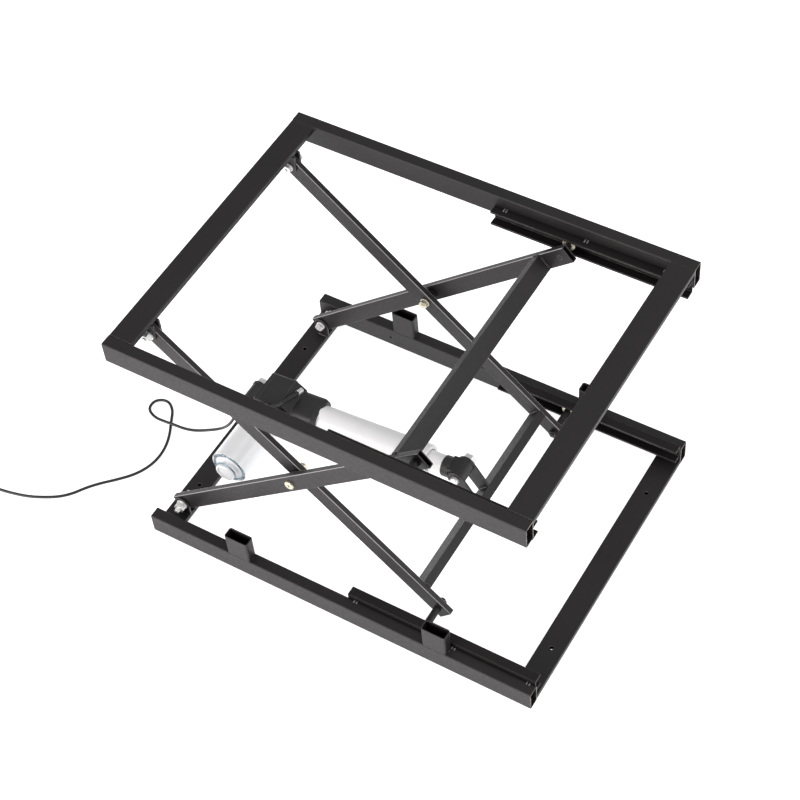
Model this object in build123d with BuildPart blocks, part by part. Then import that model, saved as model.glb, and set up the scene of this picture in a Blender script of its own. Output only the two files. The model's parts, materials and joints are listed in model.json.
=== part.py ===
from build123d import *
import math
import os

# A folding scissor lift frame raised and lowered by an electric linear actuator.
# Millimetres. +X along the long rails, away from the fixed pivots. +Z up.
# Origin: centre of the base frame, at the surface it stands on.
# Modelled fully raised. Joint value 0 is this pose.

os.makedirs("parts", exist_ok=True)

# ---- driving dimensions: frames ----
FRAME_L = 700.0
FRAME_W = 540.0
RAISED_H = 480.0
LOWERED_H = 126.3
RAIL_W = 20.0
RAIL_H = 40.0
WALL = 1.5
BAR_W = 40.0
BAR_T = 10.0
MOUNT_Y = 165.0
MOUNT_R = 3.5

# ---- driving dimensions: roller tracks ----
TRACK_X0 = 16.0
TRACK_X1 = 348.0
TRACK_DEPTH = 16.0
TRACK_H = 28.0
TRACK_FLANGE = 3.0
TRACK_WEB = 1.5

# ---- driving dimensions: scissor arms ----
PIVOT_X = -320.0
PIVOT_Z = 35.0
ROLLER_X = 148.0
ARM_H = 30.0
ARM_T = 10.0
ARM1_Y = 210.0
ARM2_Y = 189.0
ARM_TAIL = 14.0
ARM_NOSE = 18.0
CROSS_S = 581.0
CROSS_T = 15.0
BOLT_R = 4.0
RUN = 0.05
ROLLER_R = 10.7
ROLLER_Y0 = 238.6
ROLLER_Y1 = 245.6

# ---- driving dimensions: actuator ----
REAR_X = -318.0
REAR_Z = 74.0
ROD_PIN_S = 521.0
ROD_PIN_N = 15.0
PIN_R = 5.0
TUBE_R = 25.0
TUBE_BORE_R = 22.5
TUBE_U0 = 100.0
TUBE_U1 = 342.0
ROD_R = 16.5
ROD_BORE_R = 14.0
GLAND_GAP = 2.0
CABLE_R = 2.5
CABLE_EXIT = (-233.5, 9.0, 117.5)
COIL_R = 27.5
COIL_AT = (-682.0, -357.5)
MOTOR_U = 58.0
MOTOR_W = 15.5
MOTOR_R = 32.0
MOTOR_Y0 = -38.0
MOTOR_Y1 = -158.0
SCREW_LEAD = 6.0

# ---- worked out from the above ----
X0 = -FRAME_L / 2
X1 = FRAME_L / 2
YO = FRAME_W / 2
YI = YO - RAIL_W
TOP_PIVOT_Z = RAISED_H - PIVOT_Z
RISE = TOP_PIVOT_Z - PIVOT_Z
RUN_X = ROLLER_X - PIVOT_X
ARM_L = math.hypot(RUN_X, RISE)
THETA = math.atan2(RISE, RUN_X)
THETA_LOW = math.asin((LOWERED_H - 2 * PIVOT_Z) / ARM_L)
ARM1_YO = ARM1_Y + ARM_T
ARM2_YO = ARM2_Y + ARM_T
CENTRE_X = (PIVOT_X + ROLLER_X) / 2
CENTRE_Z = RAISED_H / 2


def arm1(s, n):
    """Point on the first pair of arms: s along the arm from its pivot, n across it."""
    c, k = math.cos(THETA), math.sin(THETA)
    return (PIVOT_X + s * c - n * k, PIVOT_Z + s * k + n * c)


def arm2(s, n, theta=THETA):
    """Point on the second pair of arms: s down the arm from its top pivot, n across it."""
    c, k = math.cos(theta), math.sin(theta)
    top = PIVOT_Z + ARM_L * k
    return (PIVOT_X + s * c + n * k, top - s * k + n * c)


ROD_PIN = arm2(ROD_PIN_S, ROD_PIN_N)
ROD_PIN_LOW = arm2(ROD_PIN_S, ROD_PIN_N, THETA_LOW)
TILT = math.atan2(ROD_PIN[1] - REAR_Z, ROD_PIN[0] - REAR_X)
TILT_LOW = math.atan2(ROD_PIN_LOW[1] - REAR_Z, ROD_PIN_LOW[0] - REAR_X)
REACH = math.hypot(ROD_PIN[0] - REAR_X, ROD_PIN[1] - REAR_Z)
REACH_LOW = math.hypot(ROD_PIN_LOW[0] - REAR_X, ROD_PIN_LOW[1] - REAR_Z)


def xz(y):
    """Upright plane across Y: sketch x is X, sketch y is Z, extrudes towards -Y."""
    return Plane(origin=(0, y, 0), x_dir=(1, 0, 0), z_dir=(0, -1, 0))


def yz(x):
    """Upright plane across X: sketch x is Y, sketch y is Z, extrudes towards +X."""
    return Plane(origin=(x, 0, 0), x_dir=(0, 1, 0), z_dir=(1, 0, 0))


def act(u, w, y=0.0):
    """World point at u along the actuator's axis from its rear pin and w above it."""
    c, k = math.cos(TILT), math.sin(TILT)
    return (REAR_X + u * c - w * k, y, REAR_Z + u * k + w * c)


def ax(u):
    """Plane across the actuator's axis: sketch x is Y, sketch y is up, extrudes forwards."""
    return Plane(origin=act(u, 0), x_dir=(0, 1, 0), z_dir=(math.cos(TILT), 0, math.sin(TILT)))


def side(y):
    """Plane along the actuator's axis: sketch x is u, sketch y is w, extrudes towards -Y."""
    return Plane(origin=act(0, 0, y), x_dir=(math.cos(TILT), 0, math.sin(TILT)), z_dir=(0, -1, 0))


def across(sign, low, high):
    """Plane from which a piece extrudes between low and high, on the +Y or -Y side."""
    return xz(high if sign > 0 else -low)


def save(builder, name):
    builder.part.label = name
    export_step(builder.part, f"parts/{name}.step")
    solids = builder.part.solids()
    print(f"{name}: {len(solids)} solid(s), {builder.part.volume / 1000:.2f} cm3")


def disc(plane, points, radius, depth, mode=Mode.ADD):
    """Round bars or holes at the given sketch points."""
    with BuildSketch(plane) as face:
        with Locations(*points):
            Circle(radius)
    extrude(face.sketch, amount=depth, mode=mode)


def hexagon(plane, points, across_flats, depth, mode=Mode.ADD):
    """Hexagons at the given sketch points."""
    with BuildSketch(plane) as face:
        with Locations(*points):
            RegularPolygon(across_flats / 2, 6, major_radius=False)
    extrude(face.sketch, amount=depth, mode=mode)


def cross_recess(plane, points, size, depth):
    """Screwdriver crosses cut at the given sketch points."""
    with BuildSketch(plane) as face:
        with Locations(*points):
            Rectangle(size, size / 4.5)
            Rectangle(size / 4.5, size)
    extrude(face.sketch, amount=depth, mode=Mode.SUBTRACT)


def tangent_plate(centre, radius, first, second):
    """Outline of a plate: a round end at centre, straight sides to two corner points."""
    points = []
    for point, turn in ((first, -1), (second, 1)):
        dx, dy = point[0] - centre[0], point[1] - centre[1]
        dist = math.hypot(dx, dy)
        aim = math.atan2(dy, dx) + turn * math.acos(radius / dist)
        points.append((centre[0] + radius * math.cos(aim), centre[1] + radius * math.sin(aim)))
    return [first, points[0], points[1], second]


# ================= the two frames =================
def rail(name, y_mid, z_mid):
    with BuildPart() as part:
        with BuildSketch(yz(X0)):
            with Locations((y_mid, z_mid)):
                RectangleRounded(RAIL_W, RAIL_H, 2)
                RectangleRounded(RAIL_W - 2 * WALL, RAIL_H - 2 * WALL, 0.8, mode=Mode.SUBTRACT)
        extrude(amount=FRAME_L)
        if name == "base_rail_back":
            disc(xz(YO), [(-205, 20)], 2.5, RAIL_W, Mode.SUBTRACT)
    save(part, name)


def bar(name, x_mid, z_mid, holes):
    with BuildPart() as part:
        with BuildSketch(xz(YI)):
            with Locations((x_mid, z_mid)):
                RectangleRounded(BAR_W, BAR_T, 1.5)
                RectangleRounded(BAR_W - 2 * WALL, BAR_T - 2 * WALL, 0.6, mode=Mode.SUBTRACT)
        extrude(amount=2 * YI)
        if holes:
            points = [(x_mid, MOUNT_Y), (x_mid, -MOUNT_Y)]
            disc(Plane.XY.offset(z_mid - BAR_T), points, MOUNT_R, 2 * BAR_T, Mode.SUBTRACT)
    save(part, name)


def track(name, sign, z_mid):
    """Channel welded to a rail's inner face, open towards the middle of the frame."""
    web = sign * (YI - TRACK_WEB / 2)
    mid = sign * (YI - TRACK_DEPTH / 2)
    with BuildPart() as part:
        with BuildSketch(yz(TRACK_X0)):
            with Locations((web, z_mid)):
                Rectangle(TRACK_WEB, TRACK_H)
            with Locations((mid, z_mid + (TRACK_H - TRACK_FLANGE) / 2)):
                Rectangle(TRACK_DEPTH, TRACK_FLANGE)
            with Locations((mid, z_mid - (TRACK_H - TRACK_FLANGE) / 2)):
                Rectangle(TRACK_DEPTH, TRACK_FLANGE)
        extrude(amount=TRACK_X1 - TRACK_X0)
        corners = part.edges().filter_by(Axis.X).group_by(Axis.Y)
        outer = corners[-1] if sign > 0 else corners[0]
        fillet(outer, 1.2)
    save(part, name)


rail("base_rail_front", -(YO + YI) / 2, RAIL_H / 2)
rail("base_rail_back", (YO + YI) / 2, RAIL_H / 2)
rail("top_rail_front", -(YO + YI) / 2, RAISED_H - RAIL_H / 2)
rail("top_rail_back", (YO + YI) / 2, RAISED_H - RAIL_H / 2)
bar("base_bar_left", X0 + BAR_W / 2, BAR_T / 2, True)
bar("base_bar_right", X1 - BAR_W / 2, BAR_T / 2, True)
bar("top_bar_left", X0 + BAR_W / 2, RAISED_H - BAR_T / 2, False)
bar("top_bar_right", X1 - BAR_W / 2, RAISED_H - BAR_T / 2, False)
track("base_track_front", -1, PIVOT_Z)
track("base_track_back", 1, PIVOT_Z)
track("top_track_front", -1, TOP_PIVOT_Z)
track("top_track_back", 1, TOP_PIVOT_Z)

# Upright open tube stubs that the lowered top frame's rails come down on.
STUB_X = (-178.0, 182.0)
STUB_L = 43.0
STUB_W = 19.0
STUB_TOP = 86.0
stub_points = [(sx, sy * (YO + YI) / 2) for sx in STUB_X for sy in (-1, 1)]
with BuildPart() as rest_stubs:
    with BuildSketch(Plane.XY.offset(RAIL_H)):
        with Locations(*stub_points):
            RectangleRounded(STUB_L, STUB_W, 4)
            RectangleRounded(STUB_L - 2 * WALL, STUB_W - 2 * WALL, 2.5, mode=Mode.SUBTRACT)
    extrude(amount=STUB_TOP - RAIL_H)
save(rest_stubs, "rest_stubs")

# Pairs of lug plates that hold the arms' fixed pivots.
LUG_T = 3.0
LUG_GAP = 0.6
LUG_R = 13.0


def lugs(name, arm_inner, z_pivot, z_face):
    out = arm_inner + ARM_T + LUG_GAP + LUG_T
    inn = arm_inner - LUG_GAP
    with BuildPart() as part:
        for y_top in (out, inn, -arm_inner + LUG_GAP + LUG_T, -out + LUG_T):
            with BuildSketch(xz(y_top)):
                with Locations((PIVOT_X, z_pivot)):
                    Circle(LUG_R)
                with Locations((PIVOT_X, (z_pivot + z_face) / 2)):
                    Rectangle(2 * LUG_R, abs(z_pivot - z_face))
                with Locations((PIVOT_X, z_pivot)):
                    Circle(BOLT_R, mode=Mode.SUBTRACT)
            extrude(amount=LUG_T)
    save(part, name)


lugs("base_lugs", ARM1_Y, PIVOT_Z, BAR_T)
lugs("top_lugs", ARM2_Y, TOP_PIVOT_Z, RAISED_H - BAR_T)


def pivot_bolts(name, arm_inner, z_pivot, stud):
    """Bolt through both lugs and the arm: head on the inner side, nut and stud outside."""
    inn = arm_inner - LUG_GAP - LUG_T
    out = arm_inner + ARM_T + LUG_GAP + LUG_T
    spot = [(PIVOT_X, z_pivot)]
    with BuildPart() as part:
        for sign in (1, -1):
            disc(across(sign, inn, out + stud), spot, BOLT_R, out + stud - inn)
            disc(across(sign, inn - 1.6, inn), spot, 8, 1.6)
            disc(across(sign, inn - 7.6, inn - 1.6), spot, 7, 6)
            cross_recess(across(sign, inn - 7.6, inn - 5.2), spot, 8, 2.4)
            disc(across(sign, out, out + 1.6), spot, 9.5, 1.6)
            hexagon(across(sign, out + 1.6, out + 10.6), spot, 16, 9)
    save(part, name)


pivot_bolts("base_pivot_bolts", ARM1_Y, PIVOT_Z, 17)
pivot_bolts("top_pivot_bolts", ARM2_Y, TOP_PIVOT_Z, 12)

# ================= scissor arms =================
DEG = math.degrees(THETA)


def arm(name, y_low, point, turn, bush_at, plain_at):
    """One rectangular tube arm. bush_at and plain_at are stations along it, in mm."""
    middle = point((ARM_L + ARM_NOSE - ARM_TAIL) / 2, 0)
    length = ARM_L + ARM_NOSE + ARM_TAIL
    with BuildPart() as part:
        with BuildSketch(xz(y_low + ARM_T)):
            with Locations(middle):
                Rectangle(length, ARM_H, rotation=turn)
        extrude(amount=ARM_T)
        long_edges = part.edges().filter_by(lambda e: e.length > ARM_L)
        fillet(long_edges, 1.4)
        with BuildSketch(xz(y_low + ARM_T - WALL)):
            with Locations(middle):
                Rectangle(length + 2, ARM_H - 2 * WALL, rotation=turn)
        extrude(amount=ARM_T - 2 * WALL, mode=Mode.SUBTRACT)
        disc(xz(y_low + ARM_T), [point(s, 0) for s in bush_at], 6.0, ARM_T, Mode.SUBTRACT)
        disc(xz(y_low + ARM_T), [point(s, 0) for s in plain_at], BOLT_R, ARM_T, Mode.SUBTRACT)
    save(part, name)


arm("arm_1_front", -ARM1_YO, arm1, DEG, [0], [ARM_L / 2, ARM_L])
arm("arm_1_back", ARM1_Y, arm1, DEG, [0], [ARM_L / 2, ARM_L])
arm("arm_2_front", -ARM2_YO, arm2, -DEG, [0, ARM_L / 2], [ARM_L])
arm("arm_2_back", ARM2_Y, arm2, -DEG, [0, ARM_L / 2], [ARM_L])


def cross_tube(name, point, turn, half_width):
    with BuildPart() as part:
        with BuildSketch(xz(half_width)):
            with Locations(point(CROSS_S, 0)):
                Rectangle(CROSS_T, ARM_H, rotation=turn)
                Rectangle(CROSS_T - 2 * WALL, ARM_H - 2 * WALL, rotation=turn, mode=Mode.SUBTRACT)
        extrude(amount=2 * half_width)
        fillet(part.edges().filter_by(lambda e: e.length > half_width), 0.6)
    save(part, name)


cross_tube("cross_tube_1", arm1, DEG, ARM1_Y)
cross_tube("cross_tube_2", arm2, -DEG, ARM2_Y)


def bushes(name, y_low, spots):
    """Plain bearings pressed into an arm, a little proud of it on both sides."""
    with BuildPart() as part:
        for y_top in (y_low + ARM_T + 0.4, -y_low + 0.4):
            disc(xz(y_top), spots, 6.0, ARM_T + 0.8)
        for y_top in (y_low + ARM_T + 0.4, -y_low + 0.4):
            disc(xz(y_top), spots, BOLT_R + RUN, ARM_T + 0.8, Mode.SUBTRACT)
    save(part, name)


bushes("pivot_bushes_1", ARM1_Y, [(PIVOT_X, PIVOT_Z)])
bushes("pivot_bushes_2", ARM2_Y, [(PIVOT_X, TOP_PIVOT_Z), (CENTRE_X, CENTRE_Z)])

# Centre bolts: domed head outside the first pair, nut inside the second pair.
centre = [(CENTRE_X, CENTRE_Z)]
HEAD_Y = ARM1_YO + 4.4
with BuildPart() as centre_bolts:
    for sign in (1, -1):
        disc(across(sign, ARM1_YO, HEAD_Y), centre, 8, 4.4)
    rims = centre_bolts.edges().filter_by(GeomType.CIRCLE).group_by(Axis.Y)
    fillet(rims[0] + rims[-1], 2.2)
    for sign in (1, -1):
        cross_recess(across(sign, HEAD_Y - 2.6, HEAD_Y), centre, 8, 2.6)
        disc(across(sign, 178.5, ARM1_YO), centre, BOLT_R, ARM1_YO - 178.5)
        disc(across(sign, 187.2, 188.4), centre, 8, 1.2)
        hexagon(across(sign, 180.7, 187.2), centre, 13, 6.5)
save(centre_bolts, "centre_bolts")

# Spacers: one between the crossing arms, and one from each arm out to its roller.
top_roller = [(ROLLER_X, TOP_PIVOT_Z)]
base_roller = [(ROLLER_X, PIVOT_Z)]
SPACER_Y = ROLLER_Y0 - 0.3


def spacers(name, rings):
    """Sleeves on both sides: sketch points, inner face, outer face and outer radius."""
    with BuildPart() as part:
        for spot, low, high, radius in rings:
            for sign in (1, -1):
                disc(across(sign, low, high), spot, radius, high - low)
                disc(across(sign, low, high), spot, BOLT_R, high - low, Mode.SUBTRACT)
    save(part, name)


NUT_T = 6.5
outer_nut = (top_roller, ARM1_YO + NUT_T, SPACER_Y, 6)
spacers("spacers_1", [(centre, ARM2_YO + 0.6, ARM1_Y, 9), outer_nut])
spacers("spacers_2", [(base_roller, ARM2_YO, SPACER_Y, 6)])


def roller_pins(name, tip, nut, spot):
    """Shouldered pin: thin head in the track, shank through the arm, nut against the arm."""
    head = ROLLER_Y1 + 0.3
    with BuildPart() as part:
        for sign in (1, -1):
            disc(across(sign, tip, head), spot, BOLT_R, head - tip)
            disc(across(sign, head, head + 2), spot, 6.5, 2)
            hexagon(across(sign, nut, nut + NUT_T), spot, 13, NUT_T)
    save(part, name)


roller_pins("roller_pins_1", ARM1_Y, ARM1_YO, top_roller)
roller_pins("roller_pins_2", ARM2_Y - 9, ARM2_Y - NUT_T, base_roller)


def roller(name, sign, spot):
    y_top = ROLLER_Y1 if sign > 0 else -ROLLER_Y0
    wide = ROLLER_Y1 - ROLLER_Y0
    with BuildPart() as part:
        disc(xz(y_top), spot, ROLLER_R, wide)
        fillet(part.edges().filter_by(GeomType.CIRCLE), 0.6)
        for y_cut in (y_top, y_top - wide + 0.5):
            with BuildSketch(xz(y_cut)):
                with Locations(*spot):
                    Circle(9.0)
                    Circle(6.2, mode=Mode.SUBTRACT)
            extrude(amount=0.5, mode=Mode.SUBTRACT)
        disc(xz(y_top), spot, BOLT_R + RUN, wide, Mode.SUBTRACT)
    save(part, name)


roller("roller_base_front", -1, base_roller)
roller("roller_base_back", 1, base_roller)
roller("roller_top_front", -1, top_roller)
roller("roller_top_back", 1, top_roller)

# ================= actuator mountings =================
# Rear bracket: two tall plates on the base's left bar.
REAR_T = 4.0
REAR_GAP = 0.4
REAR_HALF = 15.0
with BuildPart() as rear_bracket:
    outline = tangent_plate((REAR_X, REAR_Z), 14, (X0 + 3, BAR_T), (X0 + BAR_W - 1, BAR_T))
    for y_top in (REAR_HALF + REAR_T, -REAR_HALF):
        with BuildSketch(xz(y_top)):
            Polygon(*outline, align=None)
            with Locations((REAR_X, REAR_Z)):
                Circle(14)
                Circle(PIN_R, mode=Mode.SUBTRACT)
        extrude(amount=REAR_T)
save(rear_bracket, "rear_bracket")


PIN_STUD = 13.0
PIN_HEAD_R = 7.2
PIN_HEAD_H = 6.0
PIN_NUT_AF = 20.0
WASHER_R = 12.5
WASHER_T = 1.8


def pin_bolt(name, spot, inner_y, outer_y):
    """Cross bolt: domed head at -Y, washer and nut at +Y."""
    with BuildPart() as part:
        disc(xz(outer_y + PIN_STUD), [spot], PIN_R, outer_y + PIN_STUD + inner_y)
        disc(xz(-inner_y), [spot], PIN_HEAD_R, PIN_HEAD_H)
        fillet(part.edges().filter_by(GeomType.CIRCLE).group_by(Axis.Y)[0], 2.0)
        with BuildSketch(xz(-inner_y - 2.2)):
            with Locations(spot):
                RegularPolygon(3.0, 6, major_radius=False)
        extrude(amount=2.8, mode=Mode.SUBTRACT)
        disc(xz(outer_y + WASHER_T), [spot], WASHER_R, WASHER_T)
        hexagon(xz(outer_y + WASHER_T + 9), [spot], PIN_NUT_AF, 9)
    save(part, name)


pin_bolt("rear_bolt", (REAR_X, REAR_Z), REAR_HALF + REAR_T, REAR_HALF + REAR_T)

# Rod bracket: two tapered plates on the second pair's cross tube.
ROD_HALF = 15.2
ROD_PLATE = 4.0
near = CROSS_S - CROSS_T / 2
with BuildPart() as rod_bracket:
    outline = tangent_plate((ROD_PIN_S, ROD_PIN_N), 15, (near, -13), (near, 15))
    for y_top in (ROD_HALF + ROD_PLATE, -ROD_HALF):
        with BuildSketch(xz(y_top)):
            Polygon(*[arm2(s, n) for s, n in outline], align=None)
            with Locations(ROD_PIN):
                Circle(15)
                Circle(PIN_R, mode=Mode.SUBTRACT)
        extrude(amount=ROD_PLATE)
save(rod_bracket, "rod_bracket")
pin_bolt("rod_bolt", ROD_PIN, ROD_HALF + ROD_PLATE, ROD_HALF + ROD_PLATE)

# ================= actuator =================
# The cable's route, by hand: out of its gland, over the motor, down past the base's left
# bar, then along the floor with one small loop that passes under itself.
FLOOR = CABLE_R + 0.1
route = [
    CABLE_EXIT,
    (-235, -10, 124.5),
    (-242, -38, 131),
    (-262, -52, 134),
    (-291, -58, 127),
    (-311, -60, 98),
    (-325, -58, 67),
    (-341, -55, 38),
    (-361, -53, 14),
    (-384, -60, 4),
    (-405, -71, FLOOR),
    (-424, -77, 4.5),
    (-441, -80, 8.3),
    (-461, -82, 8.3),
    (-483, -80, 4.2),
    (-504, -69, FLOOR),
    (-504, -47.5, FLOOR),
    (-483, -38, FLOOR),
    (-464, -51, FLOOR),
    (-452, -74, FLOOR),
    (-439, -97, FLOOR),
    (-430, -121, FLOOR),
    (-427, -148, FLOOR),
    (-432, -173, FLOOR),
    (-444, -196, FLOOR),
    (-463, -217, FLOOR),
    (-485, -238, FLOOR),
    (-501, -257, FLOOR),
    (-513, -276, FLOOR),
    (-529, -292, FLOOR),
    (-551, -305, FLOOR),
    (-575, -316, FLOOR),
    (-601, -323, FLOOR),
    (-628, -328, FLOOR),
    (-655, -330, FLOOR),
    (COIL_AT[0], COIL_AT[1] + COIL_R, FLOOR),
]


def corner_radii(points):
    """Largest arc that the two runs at each corner of a route allow."""
    radii = []
    for a, b, c in zip(points, points[1:], points[2:]):
        first = Vector(*b) - Vector(*a)
        second = Vector(*c) - Vector(*b)
        half = math.radians(first.get_angle(second)) / 2
        radii.append(0.45 * min(first.length, second.length) / math.tan(half))
    return radii


radii = corner_radii(route)
print("cable radii", [round(r) for r in radii], "smallest", round(min(radii), 1))
leaving = (Vector(*route[1]) - Vector(*route[0])).normalized()
GLAND_R = 4.5
GLAND_L = 12.0
gland_plane = Plane(origin=CABLE_EXIT, z_dir=leaving)
BODY_U0 = 30.0
BODY_U1 = 76.0
COLLAR_U1 = 132.0
BODY_TOP = 42.0
BODY_LOW = -28.0
BODY_YF = -36.0
BODY_YB = 30.0
COVER_U = 36.0
body_mid = ((BODY_YF + BODY_YB) / 2, (BODY_TOP + BODY_LOW) / 2)
motor = [(MOTOR_U, MOTOR_W)]
with BuildPart() as gearbox_housing:
    with BuildSketch(ax(COVER_U)):
        with Locations(body_mid):
            RectangleRounded(BODY_YB - BODY_YF, BODY_TOP - BODY_LOW, 7)
    extrude(amount=BODY_U1 - COVER_U)
    with BuildSketch(ax(BODY_U1 - 4)):
        RectangleRounded(58, 54, 13)
    extrude(amount=COLLAR_U1 - BODY_U1 + 4)
    with BuildSketch(ax(COLLAR_U1)):
        RectangleRounded(58, 54, 13)
    extrude(amount=7, taper=22)
    with BuildSketch(side(27)):
        with BuildLine():
            Polyline((BODY_U1 - 4, 20), (BODY_U1 - 4, 41), (BODY_U1 + 1, 41))
            Spline((BODY_U1 + 1, 41), (BODY_U1 + 9, 34), (BODY_U1 + 18, 26))
            Polyline((BODY_U1 + 18, 26), (BODY_U1 + 18, 20), (BODY_U1 - 4, 20))
        make_face()
    extrude(amount=54)
    # cavity for the wheel and worm, then the seat for the outer tube
    with BuildSketch(ax(COVER_U)):
        with Locations(body_mid):
            RectangleRounded(BODY_YB - BODY_YF - 10, BODY_TOP - BODY_LOW - 10, 4)
    extrude(amount=BODY_U1 - COVER_U - 4, mode=Mode.SUBTRACT)
    disc(ax(BODY_U1 - 6), [(0, 0)], 15, 40, Mode.SUBTRACT)
    disc(ax(TUBE_U0), [(0, 0)], TUBE_R, 50, Mode.SUBTRACT)
    disc(side(BODY_YF + 6), motor, 9, 8, Mode.SUBTRACT)
    disc(gland_plane, [(0, 0)], GLAND_R, -GLAND_L, Mode.SUBTRACT)
save(gearbox_housing, "gearbox_housing")

# Short angled gland that the cable comes out of.
with BuildPart() as cable_gland:
    disc(gland_plane, [(0, 0)], GLAND_R, -GLAND_L)
save(cable_gland, "cable_gland")

# Rear cover with the tongue that swings on the rear bolt.
TONGUE_HALF = REAR_HALF - REAR_GAP
with BuildPart() as gearbox_cover:
    with BuildSketch(ax(BODY_U0)):
        with Locations(body_mid):
            RectangleRounded(BODY_YB - BODY_YF, BODY_TOP - BODY_LOW, 7)
    extrude(amount=COVER_U - BODY_U0)
    with BuildSketch(side(TONGUE_HALF)):
        Circle(13)
        Polygon((0, -13), (BODY_U0 + 0.5, -18), (BODY_U0 + 0.5, 18), (0, 13), align=None)
    extrude(amount=2 * TONGUE_HALF)
    disc(side(TONGUE_HALF), [(0, 0)], PIN_R + RUN, 2 * TONGUE_HALF, Mode.SUBTRACT)
save(gearbox_cover, "gearbox_cover")

SCREW_IN = 7.0
cover_screws_at = []
for sy in (BODY_YF + SCREW_IN, BODY_YB - SCREW_IN):
    for sw in (BODY_LOW + SCREW_IN, BODY_TOP - SCREW_IN):
        cover_screws_at.append((sy, sw))
with BuildPart() as cover_screws:
    disc(ax(BODY_U0 - 2.2), cover_screws_at, 3.6, 2.2)
    cross_recess(ax(BODY_U0 - 2.2), cover_screws_at, 4.4, 1.2)
save(cover_screws, "cover_screws")

with BuildPart() as outer_tube:
    disc(ax(TUBE_U0), [(0, 0)], TUBE_R, TUBE_U1 - TUBE_U0)
    disc(ax(TUBE_U0), [(0, 0)], TUBE_BORE_R, TUBE_U1 - TUBE_U0, Mode.SUBTRACT)
save(outer_tube, "outer_tube")

with BuildPart() as end_gland:
    disc(ax(TUBE_U1 - 12), [(0, 0)], TUBE_BORE_R, 12)
    disc(ax(TUBE_U1), [(0, 0)], TUBE_R - 0.4, 2.2)
    fillet(end_gland.edges().filter_by(GeomType.CIRCLE).sort_by(Axis.X)[-1], 1.2)
    disc(ax(TUBE_U1 - 13), [(0, 0)], ROD_R + GLAND_GAP, 20, Mode.SUBTRACT)
save(end_gland, "end_gland")

with BuildPart() as motor_can:
    disc(side(MOTOR_Y0), motor, MOTOR_R, MOTOR_Y0 - MOTOR_Y1)
    fillet(motor_can.edges().filter_by(GeomType.CIRCLE).group_by(Axis.Y)[-1], 4)
    disc(side(MOTOR_Y0 - 3), motor, MOTOR_R - 2, 200, Mode.SUBTRACT)
    disc(side(MOTOR_Y0), motor, 12, 4, Mode.SUBTRACT)
    disc(side(BODY_YF), motor, 24, BODY_YF - MOTOR_Y0)
    disc(side(BODY_YF), motor, 12, BODY_YF - MOTOR_Y0 + 1, Mode.SUBTRACT)
save(motor_can, "motor_can")

with BuildPart() as motor_end_cap:
    disc(side(MOTOR_Y1 + 5), motor, MOTOR_R - 2, 3)
    disc(side(MOTOR_Y1 + 2), motor, 26, 2)
    disc(side(MOTOR_Y1), motor, 17, 14)
    fillet(motor_end_cap.edges().filter_by(GeomType.CIRCLE).group_by(Axis.Y)[0], 2)
    disc(side(MOTOR_Y1 - 11.5), motor, 13, 3, Mode.SUBTRACT)
    disc(side(MOTOR_Y1 + 5), motor, 5, 14, Mode.SUBTRACT)
save(motor_end_cap, "motor_end_cap")

# Armature on the worm shaft, inside the can; the worm lies over the wheel.
with BuildPart() as worm_shaft:
    disc(side(20), motor, 3.0, 20 - MOTOR_Y1 + 8)
    disc(side(14), motor, 4.4, 28)
    disc(side(-56), motor, 24, 70)
    disc(side(-128), motor, 11, 14)
save(worm_shaft, "worm_shaft")

WHEEL_R = MOTOR_W - 4.4 - 0.1
with BuildPart() as worm_wheel:
    disc(ax(MOTOR_U - 6), [(0, 0)], WHEEL_R, 12)
    disc(ax(MOTOR_U - 6), [(0, 0)], 6, 12, Mode.SUBTRACT)
save(worm_wheel, "worm_wheel")

SCREW_U1 = 345.0
with BuildPart() as lead_screw:
    disc(ax(40), [(0, 0)], 6, 40)
    disc(ax(80), [(0, 0)], 7, SCREW_U1 - 80)
    grooves = int((SCREW_U1 - 160) / SCREW_LEAD)
    for i in range(grooves):
        with BuildSketch(ax(152 + i * SCREW_LEAD)):
            Circle(7.2)
            Circle(6.0, mode=Mode.SUBTRACT)
        extrude(amount=SCREW_LEAD / 2, mode=Mode.SUBTRACT)
save(lead_screw, "lead_screw")

with BuildPart() as screw_bearings:
    disc(ax(82), [(0, 0)], 15, 12)
    disc(ax(82), [(0, 0)], 7.05, 12, Mode.SUBTRACT)
    disc(ax(COVER_U), [(0, 0)], 11, 8)
    disc(ax(COVER_U), [(0, 0)], 6.05, 8, Mode.SUBTRACT)
save(screw_bearings, "screw_bearings")

with BuildPart() as drive_nut:
    disc(ax(176), [(0, 0)], 12, 30)
    disc(ax(176), [(0, 0)], 7.1, 30, Mode.SUBTRACT)
save(drive_nut, "drive_nut")

ROD_U0 = 150.0
ROD_U1 = REACH - 22.0
with BuildPart() as inner_tube:
    disc(ax(ROD_U0), [(0, 0)], ROD_R, ROD_U1 - ROD_U0)
    disc(ax(ROD_U0), [(0, 0)], ROD_BORE_R, ROD_U1 - ROD_U0, Mode.SUBTRACT)
save(inner_tube, "inner_tube")

with BuildPart() as tail_bush:
    disc(ax(ROD_U0), [(0, 0)], TUBE_BORE_R - GLAND_GAP, 16)
    disc(ax(ROD_U0), [(0, 0)], ROD_R, 16, Mode.SUBTRACT)
save(tail_bush, "tail_bush")

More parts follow.
